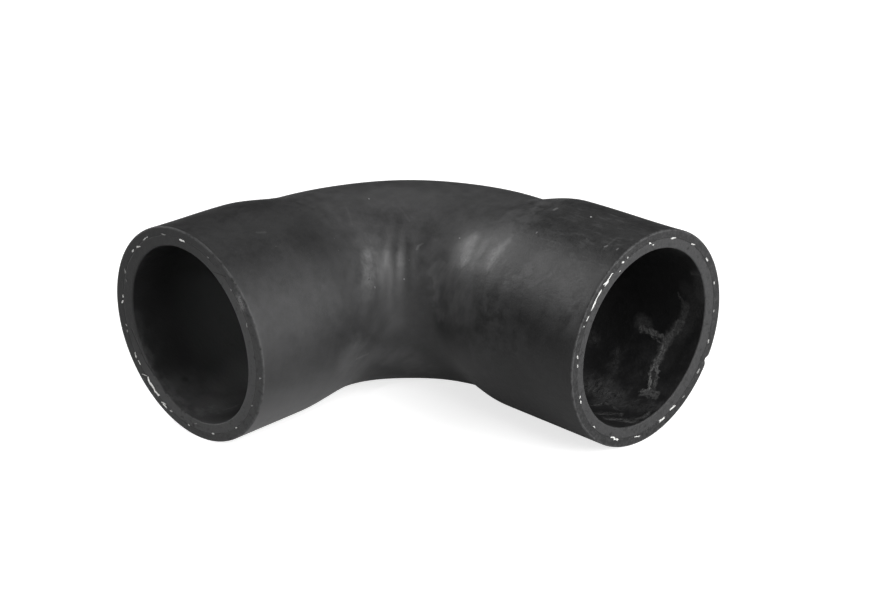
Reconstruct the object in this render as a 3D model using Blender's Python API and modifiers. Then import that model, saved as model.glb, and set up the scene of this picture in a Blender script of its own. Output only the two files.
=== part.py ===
"""Moulded rubber turbo hose: a thick-walled elbow with a slightly wider cuff at each end.

The real hose is one piece. Rubber and fabric are laid on a bent mandrel and cured, the mandrel is drawn out,
and both ends are trimmed flat. This model is made the same way: the outside is a loft along the bent centre
line, and the mandrel, a second loft one wall smaller, is cut out of it.

The centre line starts at the short cuff's mouth, runs straight along +Y, turns right round the bend and ends
at the long cuff's mouth. The hose lies on its side, so the centre line is level.
"""

import math
from collections import namedtuple

import bpy
import numpy as np

# Driving sizes, in metres and degrees

BEND_RADIUS = 0.0410  # of the centre line
BEND_ANGLE = 97.0
BODY_RADIUS = 0.0299  # outside, between the cuffs
BEND_SWELL = 0.0005  # the body stands out by this much at the middle of the bend
NECK_DEPTH = 0.0004  # the body draws in by this much where the long cuff's shoulder ends
NECK_WIDTH = 0.0090

CUFF_RADIUS = 0.0306  # outside, on average
CUFF_OVAL = 0.0009  # a cuff is this much wider than its average radius the long way round
CUFF_LEAN = 54.0  # the long way round, up from the outer side of the bend
RIM_ROUND = 0.0004  # radius left on the trimmed edges

SHORT_LEG = 0.0459  # straight run from the bend to the mouth
SHORT_CUFF = 0.0261  # from the mouth to the start of the shoulder
SHORT_SHOULDER = 0.0210  # length over which the cuff narrows to the body
SHORT_SKEW = 0.0004  # the shoulder starts this much further in on the outer side of the bend
SHORT_SWELL = 0.0007  # growth of the cuff from its mouth to its shoulder
SHORT_WALL = 0.0060
SHORT_UNEVEN = 0.0007  # the wall is this much thicker at its sides, and thinner at its top and bottom
SHORT_DRIFT = 0.0005  # the bore's mouth sits this much towards the inside of the bend
SHORT_SLANT = 2.3  # the top of the trimmed mouth leans out by this angle

LONG_LEG = 0.0534
LONG_CUFF = 0.0363
LONG_SHOULDER = 0.0143
LONG_SKEW = -0.0029
LONG_SWELL = 0.0010
LONG_WALL = 0.0056
LONG_DRIFT = 0.0010
LONG_LIFT = 0.0005  # the bore's mouth sits this much above the middle of the cuff
LONG_SLANT = 1.4
LONG_TURN = 1.1  # the outer side of the trimmed mouth leans out by this angle

# Soft ridges that the curing leaves on the inside of the bend

WRINKLE_COUNT = 7
WRINKLE_PITCH = 0.00385  # measured along the inner side of the hose
WRINKLE_START = -0.0107  # from the start of the bend, the same way
WRINKLE_HEIGHT = 0.0003
WRINKLE_SIDE = 158.0  # middle of the ridges, up from the outer side of the bend
WRINKLE_SPREAD = 32.0

# Fineness of the surface

SIDES = 52
BORE_SIDES = 44
RINGS_PER_WRINKLE = 4
RING_STEP = 0.0040
BORE_STEP = 0.0048
MANDREL_OVERRUN = 0.0080

End = namedtuple("End", "leg cuff shoulder skew swell wall uneven drift lift slant turn")
SHORT = End(SHORT_LEG, SHORT_CUFF, SHORT_SHOULDER, SHORT_SKEW, SHORT_SWELL, SHORT_WALL, SHORT_UNEVEN,
            SHORT_DRIFT, 0, SHORT_SLANT, 0)
LONG = End(LONG_LEG, LONG_CUFF, LONG_SHOULDER, LONG_SKEW, LONG_SWELL, LONG_WALL, 0,
           LONG_DRIFT, LONG_LIFT, LONG_SLANT, LONG_TURN)

BEND = math.radians(BEND_ANGLE)
ARC = BEND_RADIUS * BEND
LENGTH = SHORT_LEG + ARC + LONG_LEG

# The same four places, measured along the centre line and along the inner side of the hose
INNER_ARC = (BEND_RADIUS - BODY_RADIUS) * BEND
ON_CENTRE = np.cumsum([0, SHORT_LEG, ARC, LONG_LEG])
ON_INSIDE = np.cumsum([-SHORT_LEG, SHORT_LEG, INNER_ARC, LONG_LEG])


def clear_scene():
    for obj in list(bpy.data.objects):
        bpy.data.objects.remove(obj, do_unlink=True)


def new_collection(name, hidden):
    collection = bpy.data.collections.new(name)
    collection.hide_render = hidden
    bpy.context.scene.collection.children.link(collection)
    return collection


def rubber_material():
    """Black rubber, dulled by a thin bloom."""
    material = bpy.data.materials.new("black_rubber")
    material.use_nodes = True
    shader = material.node_tree.nodes["Principled BSDF"]
    shader.inputs["Base Color"].default_value = (0.055, 0.055, 0.056, 1)
    shader.inputs["Roughness"].default_value = 0.55
    shader.inputs["Metallic"].default_value = 0
    return material


def smooth(x):
    """0 below 0, 1 above 1, and an S-shaped curve between."""
    x = np.clip(x, 0, 1)
    return x * x * (3 - 2 * x)


def hump(x):
    return np.exp(-x * x)


def ends_with_reach(lengths):
    """Each end with the distance from its mouth."""
    return (SHORT, lengths), (LONG, LENGTH - lengths)


def centre_line(lengths):
    """Centres, forward directions and outward directions at these distances from the short mouth.

    The line is straight, then an arc about the Z axis, then straight. Outward points away from that axis.
    """
    turned = np.clip((lengths - SHORT_LEG) / BEND_RADIUS, 0, BEND)
    zero = np.zeros_like(turned)
    forward = np.stack([np.sin(turned), np.cos(turned), zero], axis=-1)
    outward = np.stack([-np.cos(turned), np.sin(turned), zero], axis=-1)
    straight = lengths - SHORT_LEG - BEND_RADIUS * turned
    return BEND_RADIUS * outward + straight[:, None] * forward, forward, outward


def plain_radius(lengths, angles):
    """Outside radius without the wrinkles: the body's, eased into each cuff over its shoulder."""
    lean = math.radians(CUFF_LEAN)
    neck = LENGTH - LONG_CUFF - LONG_SKEW * np.cos(angles) - LONG_SHOULDER
    radius = BODY_RADIUS + BEND_SWELL * hump((lengths - SHORT_LEG - ARC / 2) / (ARC / 4))
    radius = radius - NECK_DEPTH * hump((lengths - neck) / NECK_WIDTH)
    for end, reach in ends_with_reach(lengths):
        start = end.cuff + end.skew * np.cos(angles)
        on_cuff = 1 - smooth((reach - start) / end.shoulder)
        swell = end.swell * smooth(reach / end.cuff) * np.clip(np.cos(angles - lean), 0, 1)
        cuff = CUFF_RADIUS + CUFF_OVAL * np.cos(2 * (angles - lean)) + swell
        radius = radius + on_cuff * (cuff - radius)
    return radius


def wrinkles(lengths, angles):
    """Height of the ridges: a row of waves along the inner side, highest at the middle of the row."""
    waves = (np.interp(lengths, ON_CENTRE, ON_INSIDE) - WRINKLE_START) / WRINKLE_PITCH
    waves = np.clip(waves, 0, WRINKLE_COUNT)
    row = np.sin(np.pi * waves / WRINKLE_COUNT) * (1 - np.cos(2 * np.pi * waves)) / 2
    around = hump((angles - math.radians(WRINKLE_SIDE)) / math.radians(WRINKLE_SPREAD))
    return WRINKLE_HEIGHT * row * around


def outside_radius(lengths, angles):
    return plain_radius(lengths, angles) + wrinkles(lengths, angles)


def bore_radius(lengths, angles):
    """The outside less the wall, which eases from one end's thickness to the other's."""
    short = SHORT.wall + SHORT.uneven * np.cos(2 * angles)
    long = LONG.wall + LONG.uneven * np.cos(2 * angles)
    return plain_radius(lengths, angles) - short - (long - short) * smooth(lengths / LENGTH)


def bore_shift(lengths):
    """How far the bore's centre lies off the hose's, outward and upward. It fades over each leg."""
    outward = upward = 0
    for end, reach in ends_with_reach(lengths):
        near = 1 - smooth(reach / end.leg)
        outward = outward - near * end.drift
        upward = upward + near * end.lift
    return outward, upward


def rings(lengths, radius, sides, shift=(0, 0)):
    """Points of the rings at these distances, as an array of rings, sides and coordinates.

    Angles run from the outer side of the bend over the top. Towards each mouth the rings lean until they are
    parallel to the trimmed face, so the last one lies in that plane.
    """
    lengths = lengths[:, None]
    angles = np.linspace(0, 2 * np.pi, sides, endpoint=False)[None]
    centre, forward, outward = centre_line(lengths[:, 0])
    across = radius(lengths, angles) * np.cos(angles) + shift[0]
    height = radius(lengths, angles) * np.sin(angles) + shift[1]
    along = 0
    for way, (end, reach) in zip((-1, 1), ends_with_reach(lengths)):
        lean = height * math.tan(math.radians(end.slant)) + across * math.tan(math.radians(end.turn))
        along = along + way * lean * np.clip(1 - reach / end.cuff, 0, 1)
    points = centre[:, None] + across[..., None] * outward[:, None] + along[..., None] * forward[:, None]
    points[..., 2] += height
    return points


def spaced(start, stop, step):
    return np.linspace(start, stop, max(2, 1 + round((stop - start) / step)))


def outside_lengths():
    """Where the outside's rings lie: even steps along the legs, and several to a wrinkle between."""
    waves = np.linspace(0, WRINKLE_COUNT, 1 + WRINKLE_COUNT * RINGS_PER_WRINKLE)
    wrinkled = np.interp(WRINKLE_START + WRINKLE_PITCH * waves, ON_INSIDE, ON_CENTRE)
    before = spaced(0, wrinkled[0], RING_STEP)
    after = spaced(wrinkled[-1], LENGTH, RING_STEP)
    return np.concatenate([before[:-1], wrinkled, after[1:]])


def mandrel_lengths():
    """Even steps, with no ring at a mouth, where the mandrel runs on past the hose."""
    inner = spaced(BORE_STEP / 2, LENGTH - BORE_STEP / 2, BORE_STEP)
    return np.concatenate([[-MANDREL_OVERRUN], inner, [LENGTH + MANDREL_OVERRUN]])


def loft(name, points, collection):
    """A closed solid: faces join each ring to the next, and the first and last rings are filled."""
    count, sides = points.shape[:2]
    grid = np.arange(count * sides).reshape(count, sides)
    beside = np.roll(grid, -1, axis=1)
    faces = np.stack([grid[:-1], beside[:-1], beside[1:], grid[1:]], axis=-1).reshape(-1, 4).tolist()
    faces += [grid[0, ::-1].tolist(), grid[-1].tolist()]
    mesh = bpy.data.meshes.new(name)
    mesh.from_pydata(points.reshape(-1, 3), [], faces)
    mesh.shade_smooth()
    obj = bpy.data.objects.new(name, mesh)
    collection.objects.link(obj)
    return obj


def make_mandrel(collection):
    """The bent core that leaves the bore. It is only a cutter."""
    lengths = mandrel_lengths()
    shift = bore_shift(lengths[:, None])
    mandrel = loft("mandrel", rings(lengths, bore_radius, BORE_SIDES, shift), collection)
    mandrel.hide_render = True
    mandrel.display_type = "WIRE"
    return mandrel


def make_hose(collection, mandrel):
    hose = loft("hose", rings(outside_lengths(), outside_radius, SIDES), collection)
    hose.data.materials.append(rubber_material())
    bore = hose.modifiers.new("bore", "BOOLEAN")
    bore.operation = "DIFFERENCE"
    bore.solver = "EXACT"
    bore.object = mandrel
    rims = hose.modifiers.new("rims", "BEVEL")
    rims.width = RIM_ROUND
    rims.segments = 2
    rims.limit_method = "ANGLE"
    rims.angle_limit = math.radians(50)
    rims.harden_normals = True
    return hose


def stand_on_origin(hose, mandrel):
    """Moves both so that the bottom centre of the hose's box is the origin."""
    evaluated = hose.evaluated_get(bpy.context.evaluated_depsgraph_get())
    corners = np.array([corner[:] for corner in evaluated.bound_box])
    low, high = corners.min(axis=0), corners.max(axis=0)
    for obj in (hose, mandrel):
        obj.location = (-(low[0] + high[0]) / 2, -(low[1] + high[1]) / 2, -low[2])


def main():
    clear_scene()
    hose_parts = new_collection("turbo_hose", hidden=False)
    cutters = new_collection("cutters", hidden=True)
    mandrel = make_mandrel(cutters)
    hose = make_hose(hose_parts, mandrel)
    stand_on_origin(hose, mandrel)


main()
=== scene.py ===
# %% [markdown]
# # A moulded rubber turbo hose
#
# The real hose is one piece: rubber and a knitted fabric are laid on a bent mandrel, wrapped, cured in steam,
# pulled off and trimmed at both ends. What the eye sees is the outside with its grey bloom, two trimmed faces
# with the fabric's cut yarn ends, and a dark bore with a dried streak in it.
#
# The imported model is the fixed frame. Its node has the true form but coarse facets and one plain colour, so
# this script lays a finer skin over the same form and gives each of the three surfaces its own finish.

# %% The frame
import math

import bpy
import numpy as np
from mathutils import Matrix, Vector


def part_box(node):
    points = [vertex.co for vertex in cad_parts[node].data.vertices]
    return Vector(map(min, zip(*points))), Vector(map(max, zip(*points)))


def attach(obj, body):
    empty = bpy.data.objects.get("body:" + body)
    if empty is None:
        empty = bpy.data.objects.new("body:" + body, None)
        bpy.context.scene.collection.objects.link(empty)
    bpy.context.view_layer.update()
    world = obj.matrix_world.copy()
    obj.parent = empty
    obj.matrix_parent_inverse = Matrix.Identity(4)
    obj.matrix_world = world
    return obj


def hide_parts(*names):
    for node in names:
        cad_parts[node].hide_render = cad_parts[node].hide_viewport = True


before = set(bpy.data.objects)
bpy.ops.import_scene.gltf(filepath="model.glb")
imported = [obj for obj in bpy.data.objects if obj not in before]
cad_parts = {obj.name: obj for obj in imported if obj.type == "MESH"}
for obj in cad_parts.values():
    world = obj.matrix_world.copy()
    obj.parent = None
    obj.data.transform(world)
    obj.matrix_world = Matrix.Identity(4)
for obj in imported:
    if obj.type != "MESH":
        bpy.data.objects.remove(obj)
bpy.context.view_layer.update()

low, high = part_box("hose")
print("hose box", [round(v * 1000, 1) for v in (*low, *high)], "mm")

# %% [markdown]
# ## The camera
#
# The camera comes first, because marks that are read off the photograph are placed by looking through it.
# A camera could be placed by eye, but here its angle, distance and lens were worked out from the outline of
# the hose, so that the render and the photograph can be laid over each other.

# %% The camera and what it sees
PHOTO_SIZE = (882, 591)
CAMERA_TURN = 40.39  # degrees, from standing on the -Y side towards the +X side
CAMERA_RISE = 19.32
CAMERA_DISTANCE = 0.4472
CAMERA_AIM = Vector((-0.0008, 0.0093, 0.0309))
LENS = 62.07  # mm, on a sensor 36 mm wide
SENSOR = 36.0
SHIFT = (-0.0011, 0.0073)
NEAREST_SEEN = 0.01


def add_object(name, data):
    """A new object in the scene, at the origin."""
    obj = bpy.data.objects.new(name, data)
    bpy.context.scene.collection.objects.link(obj)
    return obj


def direction(turn, rise):
    """The way to a place at an angle from -Y towards +X and at a height above the floor, both in degrees."""
    turn, rise = math.radians(turn), math.radians(rise)
    return Vector((math.sin(turn) * math.cos(rise), -math.cos(turn) * math.cos(rise), math.sin(rise)))


def aim(obj, target, way, distance):
    """Puts an object at a distance from a target, the way given, and turns it to look at the target."""
    obj.location = target + distance * way
    obj.rotation_euler = (-way).to_track_quat("-Z", "Y").to_euler()


towards_camera = direction(CAMERA_TURN, CAMERA_RISE)
camera_place = CAMERA_AIM + CAMERA_DISTANCE * towards_camera
camera = add_object("camera", bpy.data.cameras.new("camera"))
aim(camera, CAMERA_AIM, towards_camera, CAMERA_DISTANCE)
camera.data.lens = LENS
camera.data.sensor_width = SENSOR
camera.data.shift_x, camera.data.shift_y = SHIFT
camera.data.clip_start = NEAREST_SEEN
bpy.context.scene.camera = camera

camera_right = np.array(Vector((0, 0, 1)).cross(towards_camera).normalized())
camera_up = np.cross(np.array(towards_camera), camera_right)


def to_pixels(points):
    """Where points land in the photograph: lens times distance aside over depth, from the shifted middle."""
    away = points - np.array(camera_place)
    depth = -(away @ np.array(towards_camera))
    focal = LENS / SENSOR * PHOTO_SIZE[0]
    across = PHOTO_SIZE[0] * (0.5 - SHIFT[0]) + focal * (away @ camera_right) / depth
    down = PHOTO_SIZE[1] / 2 + PHOTO_SIZE[0] * SHIFT[1] - focal * (away @ camera_up) / depth
    return np.stack([across, down], axis=-1)


print("camera at", [round(v, 3) for v in camera_place])

# %% [markdown]
# ## The form of the hose
#
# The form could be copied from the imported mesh, but a formula gives any fineness that is wanted, and it tells
# every later step where a mark lies. A place on the hose has two numbers: the distance along the centre line
# from the short cuff's mouth, and the angle round it, from the outer side of the bend over the top. The sizes
# are those of the solid model, in metres and degrees.

# %% Sizes of the hose
BEND_RADIUS, BEND_ANGLE = 0.0410, 97.0
BODY_RADIUS, BEND_SWELL = 0.0299, 0.0005
NECK_DEPTH, NECK_WIDTH = 0.0004, 0.0090
CUFF_RADIUS, CUFF_OVAL, CUFF_LEAN = 0.0306, 0.0009, 54.0
RIM_ROUND = 0.0004
# Of each end: its leg, cuff and shoulder, the cuff's skew and swell, the wall and how uneven it is, how far
# the bore drifts and lifts, and the cut's slant and turn in degrees.
SHORT = dict(leg=0.0459, cuff=0.0261, shoulder=0.0210, skew=0.0004, swell=0.0007, wall=0.0060, uneven=0.0007,
             drift=0.0005, lift=0.0, slant=2.3, turn=0.0)
LONG = dict(leg=0.0534, cuff=0.0363, shoulder=0.0143, skew=-0.0029, swell=0.0010, wall=0.0056, uneven=0.0,
            drift=0.0010, lift=0.0005, slant=1.4, turn=1.1)

BEND = math.radians(BEND_ANGLE)
ARC = BEND_RADIUS * BEND
LENGTH = SHORT["leg"] + ARC + LONG["leg"]
# Where the three stretches end, along the centre line and along the inside of the bend.
ON_CENTRE = np.cumsum([0, SHORT["leg"], ARC, LONG["leg"]])
ON_INSIDE = np.cumsum([0, SHORT["leg"], (BEND_RADIUS - BODY_RADIUS) * BEND, LONG["leg"]])
print("centre line", round(LENGTH * 1000, 1), "mm long")

# %% The centre line and the two radii


def smooth(x):
    """0 below 0, 1 above 1, and 3 x squared less 2 x cubed between."""
    x = np.clip(x, 0, 1)
    return x * x * (3 - 2 * x)


def hump(x):
    """e to the power of minus x squared."""
    return np.exp(-x * x)


def ends_with_reach(lengths):
    """Each end with the distance from its mouth."""
    return (SHORT, lengths), (LONG, LENGTH - lengths)


def centre_line(lengths):
    """Centres, forward and outward directions of a straight leg, an arc about Z and a straight leg."""
    turned = np.clip((lengths - SHORT["leg"]) / BEND_RADIUS, 0, BEND)
    zero = np.zeros_like(turned)
    forward = np.stack([np.sin(turned), np.cos(turned), zero], axis=-1)
    outward = np.stack([-np.cos(turned), np.sin(turned), zero], axis=-1)
    straight = lengths - SHORT["leg"] - BEND_RADIUS * turned
    return BEND_RADIUS * outward + straight[..., None] * forward, forward, outward


def plain_radius(lengths, angles):
    """The body's radius, eased over a shoulder into each cuff's. A cuff is oval and swells from its mouth."""
    lean = math.radians(CUFF_LEAN)
    neck = LENGTH - LONG["cuff"] - LONG["skew"] * np.cos(angles) - LONG["shoulder"]
    radius = BODY_RADIUS + BEND_SWELL * hump((lengths - SHORT["leg"] - ARC / 2) / (ARC / 4))
    radius = radius - NECK_DEPTH * hump((lengths - neck) / NECK_WIDTH)
    for end, reach in ends_with_reach(lengths):
        start = end["cuff"] + end["skew"] * np.cos(angles)
        on_cuff = 1 - smooth((reach - start) / end["shoulder"])
        swell = end["swell"] * smooth(reach / end["cuff"]) * np.clip(np.cos(angles - lean), 0, 1)
        cuff = CUFF_RADIUS + CUFF_OVAL * np.cos(2 * (angles - lean)) + swell
        radius = radius + on_cuff * (cuff - radius)
    return radius


def bore_radius(lengths, angles):
    """The outside less the wall, which eases from one end's thickness to the other's."""
    short = SHORT["wall"] + SHORT["uneven"] * np.cos(2 * angles)
    long = LONG["wall"] + LONG["uneven"] * np.cos(2 * angles)
    return plain_radius(lengths, angles) - short - (long - short) * smooth(lengths / LENGTH)


def bore_shift(lengths):
    """How far the bore's centre lies off the hose's, outward and upward, fading over each leg."""
    near_short = 1 - smooth(lengths / SHORT["leg"])
    near_long = 1 - smooth((LENGTH - lengths) / LONG["leg"])
    outward = -near_short * SHORT["drift"] - near_long * LONG["drift"]
    return outward, near_short * SHORT["lift"] + near_long * LONG["lift"]


# %% [markdown]
# A cross-section is a ring square to the centre line. Near a mouth the rings lean until they are parallel to
# the trimmed face, which is how the face comes out flat although neither end was cut quite square.

# %% A place on the hose


def place(lengths, angles, radius, depth=0.0):
    """The point at radius from the centre: across is radius times cosine, height is radius times sine.

    Depth runs from 0 at the outside to 1 at the bore and moves the centre over to the bore's. Near a mouth
    the point also moves along the hose by its height and its distance across, times the cut's two slopes.
    """
    centre, forward, outward = centre_line(lengths)
    shift_out, shift_up = bore_shift(lengths)
    across = radius * np.cos(angles) + depth * shift_out
    height = radius * np.sin(angles) + depth * shift_up
    along = 0
    for way, (end, reach) in zip((-1, 1), ends_with_reach(lengths)):
        lean = height * math.tan(math.radians(end["slant"])) + across * math.tan(math.radians(end["turn"]))
        along = along + way * lean * np.clip(1 - reach / end["cuff"], 0, 1)
    points = centre + across[..., None] * outward + along[..., None] * forward
    points[..., 2] += height
    return points + HOME


# The solid model stands centred on the origin, so the formula's own box is moved to the frame's box.
HOME = np.zeros(3)
ROUGH_GRID = np.linspace(0, LENGTH, 400), np.linspace(0, 2 * np.pi, 240)
rough_lengths, rough_angles = np.meshgrid(*ROUGH_GRID, indexing="ij")
rough = place(rough_lengths, rough_angles, plain_radius(rough_lengths, rough_angles)).reshape(-1, 3)
HOME = (np.array(low) + np.array(high)) / 2 - (rough.min(axis=0) + rough.max(axis=0)) / 2
print("the formula's origin is at", np.round(HOME * 1000, 2), "mm")

# %% [markdown]
# ## A small language for materials
#
# A material is arithmetic on patterns. Wiring Math nodes one by one hides that arithmetic, so a socket is
# wrapped in a class that knows plus, minus and times, and one method makes every other kind of node.

# %% Values and finishes


class Value:
    """A shader socket that adds Math nodes when it is used in arithmetic."""

    def __init__(self, finish, socket):
        self.finish, self.socket = finish, socket

    def math(self, operation, *others):
        values = dict(enumerate((self, *others)))
        return self.finish.node("ShaderNodeMath", {"operation": operation}, values)

    def __add__(self, other):
        return self.math("ADD", other)

    __radd__ = __add__

    def __sub__(self, other):
        return self.math("SUBTRACT", other)

    def __rsub__(self, other):
        return self.finish.node("ShaderNodeMath", {"operation": "SUBTRACT"}, {0: other, 1: self})

    def __mul__(self, other):
        return self.math("MULTIPLY", other)

    def __pow__(self, other):
        return self.math("POWER", other)

    def between(self, start, stop):
        """0 below start, 1 above stop, and an S-shaped curve between."""
        settings = {"interpolation_type": "SMOOTHSTEP"}
        values = {"Value": self, "From Min": start, "From Max": stop}
        return self.finish.node("ShaderNodeMapRange", settings, values)


class Finish:
    """The nodes of a material or a world under construction."""

    def __init__(self, owner):
        owner.use_nodes = True
        self.owner, self.tree = owner, owner.node_tree
        self.tree.nodes.clear()

    def node(self, kind, settings, values, output=0):
        """Makes a node, sets its settings, then its sockets, and returns one output as a Value."""
        node = self.tree.nodes.new(kind)
        for name, setting in settings.items():
            setattr(node, name, setting)
        for name, value in values.items():
            self.put(node.inputs[name], value)
        return Value(self, node.outputs[output]) if node.outputs else None

    def put(self, socket, value):
        if isinstance(value, Value):
            self.tree.links.new(value.socket, socket)
        elif isinstance(value, tuple) and len(value) == 3 and socket.type == "RGBA":
            socket.default_value = (*value, 1)
        else:
            socket.default_value = value

    def vector(self, operation, values, output=0):
        return self.node("ShaderNodeVectorMath", {"operation": operation}, values, output)

    def surface(self, values):
        """Ends a material with a Principled shader, given the values of its sockets by name."""
        shader = self.node("ShaderNodeBsdfPrincipled", {}, values)
        self.node("ShaderNodeOutputMaterial", {}, {"Surface": shader})
        return self.owner

    def place(self):
        return self.node("ShaderNodeTexCoord", {}, {}, "Object")

    def attribute(self, name):
        return self.node("ShaderNodeAttribute", {"attribute_name": name}, {}, "Fac")

    def ray(self, kind):
        """1 for the rays of a kind and 0 for the others."""
        return self.node("ShaderNodeLightPath", {}, {}, kind)

    def noise(self, place, size, detail=3.0, roughness=0.5, output=0):
        """Soft noise from about 0.2 to 0.8, whose blotches are about size across, in metres."""
        values = {"Vector": place, "Scale": 1 / size, "Detail": detail, "Roughness": roughness}
        return self.node("ShaderNodeTexNoise", {}, values, output)

    def dots(self, place, size, radius):
        """1 in the middle of scattered dots and 0 off them. Size is their spacing, radius a share of it."""
        nearest = self.node("ShaderNodeTexVoronoi", {}, {"Vector": place, "Scale": 1 / size})
        return 1 - nearest.between(0.0, radius)

    def squeezed(self, place, way, share):
        """Place with its part along a direction cut to a share, so that noise read there is drawn out."""
        part = self.vector("DOT_PRODUCT", {0: place, 1: way}, "Value")
        removed = self.vector("SCALE", {0: way, "Scale": part * (1 - share)})
        return self.vector("SUBTRACT", {0: place, 1: removed})

    def frayed(self, place, size, amount):
        """Place moved by up to half the amount, in blotches of a size, which frays what is drawn there."""
        centred = self.vector("SUBTRACT", {0: self.noise(place, size, output="Color"), 1: (0.5, 0.5, 0.5)})
        return self.vector("ADD", {0: place, 1: self.vector("SCALE", {0: centred, "Scale": amount * 2})})

    def line(self, place, start, stop, half_width, core, rim):
        """1 within core half widths of the line from start to stop, falling to 0 at rim half widths.

        With the share t = (place - start).(stop - start) / |stop - start| squared, kept between 0 and 1, the
        distance is |place - start - t (stop - start)|.
        """
        run = stop - start
        away = self.vector("SUBTRACT", {0: place, 1: start})
        share = self.vector("DOT_PRODUCT", {0: away, 1: run / max(run.length_squared, 1e-12)}, "Value")
        share = self.node("ShaderNodeClamp", {}, {"Value": share})
        nearest = self.vector("SCALE", {0: run, "Scale": share})
        distance = self.vector("DISTANCE", {0: away, 1: nearest}, "Value")
        return 1 - distance.between(core * half_width, rim * half_width)

    def lines(self, place, marks, core=0.35, rim=1.25):
        """The strongest of several lines at each place, each times its own strength."""
        total = None
        for start, stop, half_width, strength in marks:
            one = self.line(place, start, stop, half_width, core, rim) * strength
            total = one if total is None else total.math("MAXIMUM", one)
        return total

    def ragged(self, place, marks, size, amount, core=0.35, rim=1.25):
        """Lines whose edges are frayed in blotches of a size, by up to half the amount."""
        return self.lines(self.frayed(place, size, amount), marks, core, rim)

    def wave(self, value, pitch):
        """A wave of value from -1 to 1."""
        return (value * (2 * math.pi / pitch)).math("SINE")

    def mix(self, factor, first, second):
        """First where factor is 0 and second where it is 1, as colours."""
        return self.node("ShaderNodeMix", {"data_type": "RGBA"}, {0: factor, 6: first, 7: second}, 2)

    def coats(self, tone, *covers):
        """Tone under coats, the last on top. Each coat is where it covers, from 0 to 1, and its colour."""
        for cover, colour in covers:
            tone = self.mix(cover, tone, colour)
        return tone

    def bump(self, height):
        """The surface direction under a height in metres."""
        return self.node("ShaderNodeBump", {}, {"Height": height, "Distance": 1.0, "Strength": 1.0})


def grey(level, blue=0.0):
    """A grey that reflects the share level of the light, and of its blue part that much more."""
    return level, level, level + blue


def new_finish(name, colour):
    """A new material's nodes. Colour is what the viewport shows of it."""
    material = bpy.data.materials.new(name)
    material.diffuse_color = (*colour, 1)
    return Finish(material)


RUBBER = grey(0.03, 0.001)
# The grey below is bare rubber's. The outside uses it for painted shade, and for one dark spot.
SHADE_BLACK = grey(0.006, 0.0002)  # rubber with no bloom on it

# %% [markdown]
# ## Marks read off the photograph
#
# Scratches, yarn ends and the dried streak each have one true place. That place could be guessed as an angle
# and a length, but it is easier to read it off the photograph in pixels and look it up: of a fine grid of
# places on the hose, the one is taken whose picture lies nearest to the pixel.

# %% Looking a pixel up on the hose
PIXEL = 0.00029  # how much of the hose one pixel of the photograph covers, in metres
LOOK_UP_STEP, LOOK_UP_TURN, LOOK_UP_DEPTHS = 0.0004, 0.5, 81  # metres, degrees and a count
SHORT_BORE_SEEN, LONG_BORE_SEEN = 0.07, 0.06
NEARER_COUNTS = 50.0  # pixels squared per metre, so that the front one of two hits is taken
SOFT = 1.7  # marks in rubber have soft edges, and are drawn this much wider
BORE_SLANT = 1.6  # the bore's wall is seen at a slant, and its marks are this much wider


def surface(lengths, angles, depths):
    """The hose at any place: the outside where depth is 0, the bore where it is 1, a face between."""
    outside = plain_radius(lengths, angles)
    return place(lengths, angles, outside + depths * (bore_radius(lengths, angles) - outside), depths)


def look_up(pixels, lengths, depths, side):
    """Lengths, angles and depths of what pixels show. Side is 1 outside, -1 in the bore and 0 on a face."""
    around = np.radians(np.arange(0, 360, LOOK_UP_TURN))
    places = [values.ravel() for values in np.meshgrid(lengths, around, depths, indexing="ij")]
    points = surface(*places)
    outward = centre_line(places[0])[2]
    away = np.cos(places[1])[:, None] * outward + np.sin(places[1])[:, None] * np.array([0.0, 0.0, 1.0])
    to_eye = np.array(camera_place) - points
    seen = side * np.sum(away * to_eye, axis=1) >= 0
    spots, far = to_pixels(points[seen]), np.linalg.norm(to_eye[seen], axis=1)
    hits = [np.argmin(np.sum((spots - pixel) ** 2, axis=1) + NEARER_COUNTS * far) for pixel in pixels]
    return [values[seen][hits] for values in places]


def on_outside(pixels):
    return look_up(pixels, np.arange(0, LENGTH, LOOK_UP_STEP), [0.0], 1)


def on_long_bore(pixels):
    return look_up(pixels, np.arange(LENGTH - LONG_BORE_SEEN, LENGTH, LOOK_UP_STEP), [1.0], -1)


def on_short_bore(pixels):
    return look_up(pixels, np.arange(0, SHORT_BORE_SEEN, LOOK_UP_STEP), [1.0], -1)


def on_face(pixels, length):
    return look_up(pixels, [length], np.linspace(0, 1, LOOK_UP_DEPTHS), 0)


def on_short_face(pixels):
    return on_face(pixels, 0.0)


def on_long_face(pixels):
    return on_face(pixels, LENGTH)


def mark_lines(marks, find, slant=1.0):
    """Each mark's start and stop on the hose, its half width in metres and its strength.

    A mark is start x, start y, stop x, stop y, width in pixels, strength from 0 to 1. Slant is how many times
    wider it is drawn.
    """
    marks = np.array(marks)
    starts, stops = surface(*find(marks[:, 0:2])), surface(*find(marks[:, 2:4]))
    width = slant * PIXEL / 2
    return [(Vector(a), Vector(b), width * mark[4], mark[5]) for a, b, mark in zip(starts, stops, marks)]


# %% Where the marks are
# Start x, start y, stop x, stop y, width and strength, the first five in pixels of the photograph.
SCRATCHES = (
    (550, 275, 530, 286.5, 2.6, 0.15),
    (632, 240, 617, 238, 1.8, 0.12),
    (617, 238, 604, 249, 1.8, 0.12),
    (626, 244, 612, 246, 1.6, 0.1),
    (417, 249, 418.5, 245.5, 1.6, 0.26),
    (418.5, 245.5, 422.5, 243.5, 1.4, 0.22),
    (357, 359, 368, 354, 1.8, 0.2),
    (400, 208, 409.5, 221, 1.6, 0.06),
    (346, 207, 352, 224, 1.8, 0.06),
    (257, 233, 265, 232.5, 1.8, 0.12),
)
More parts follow.
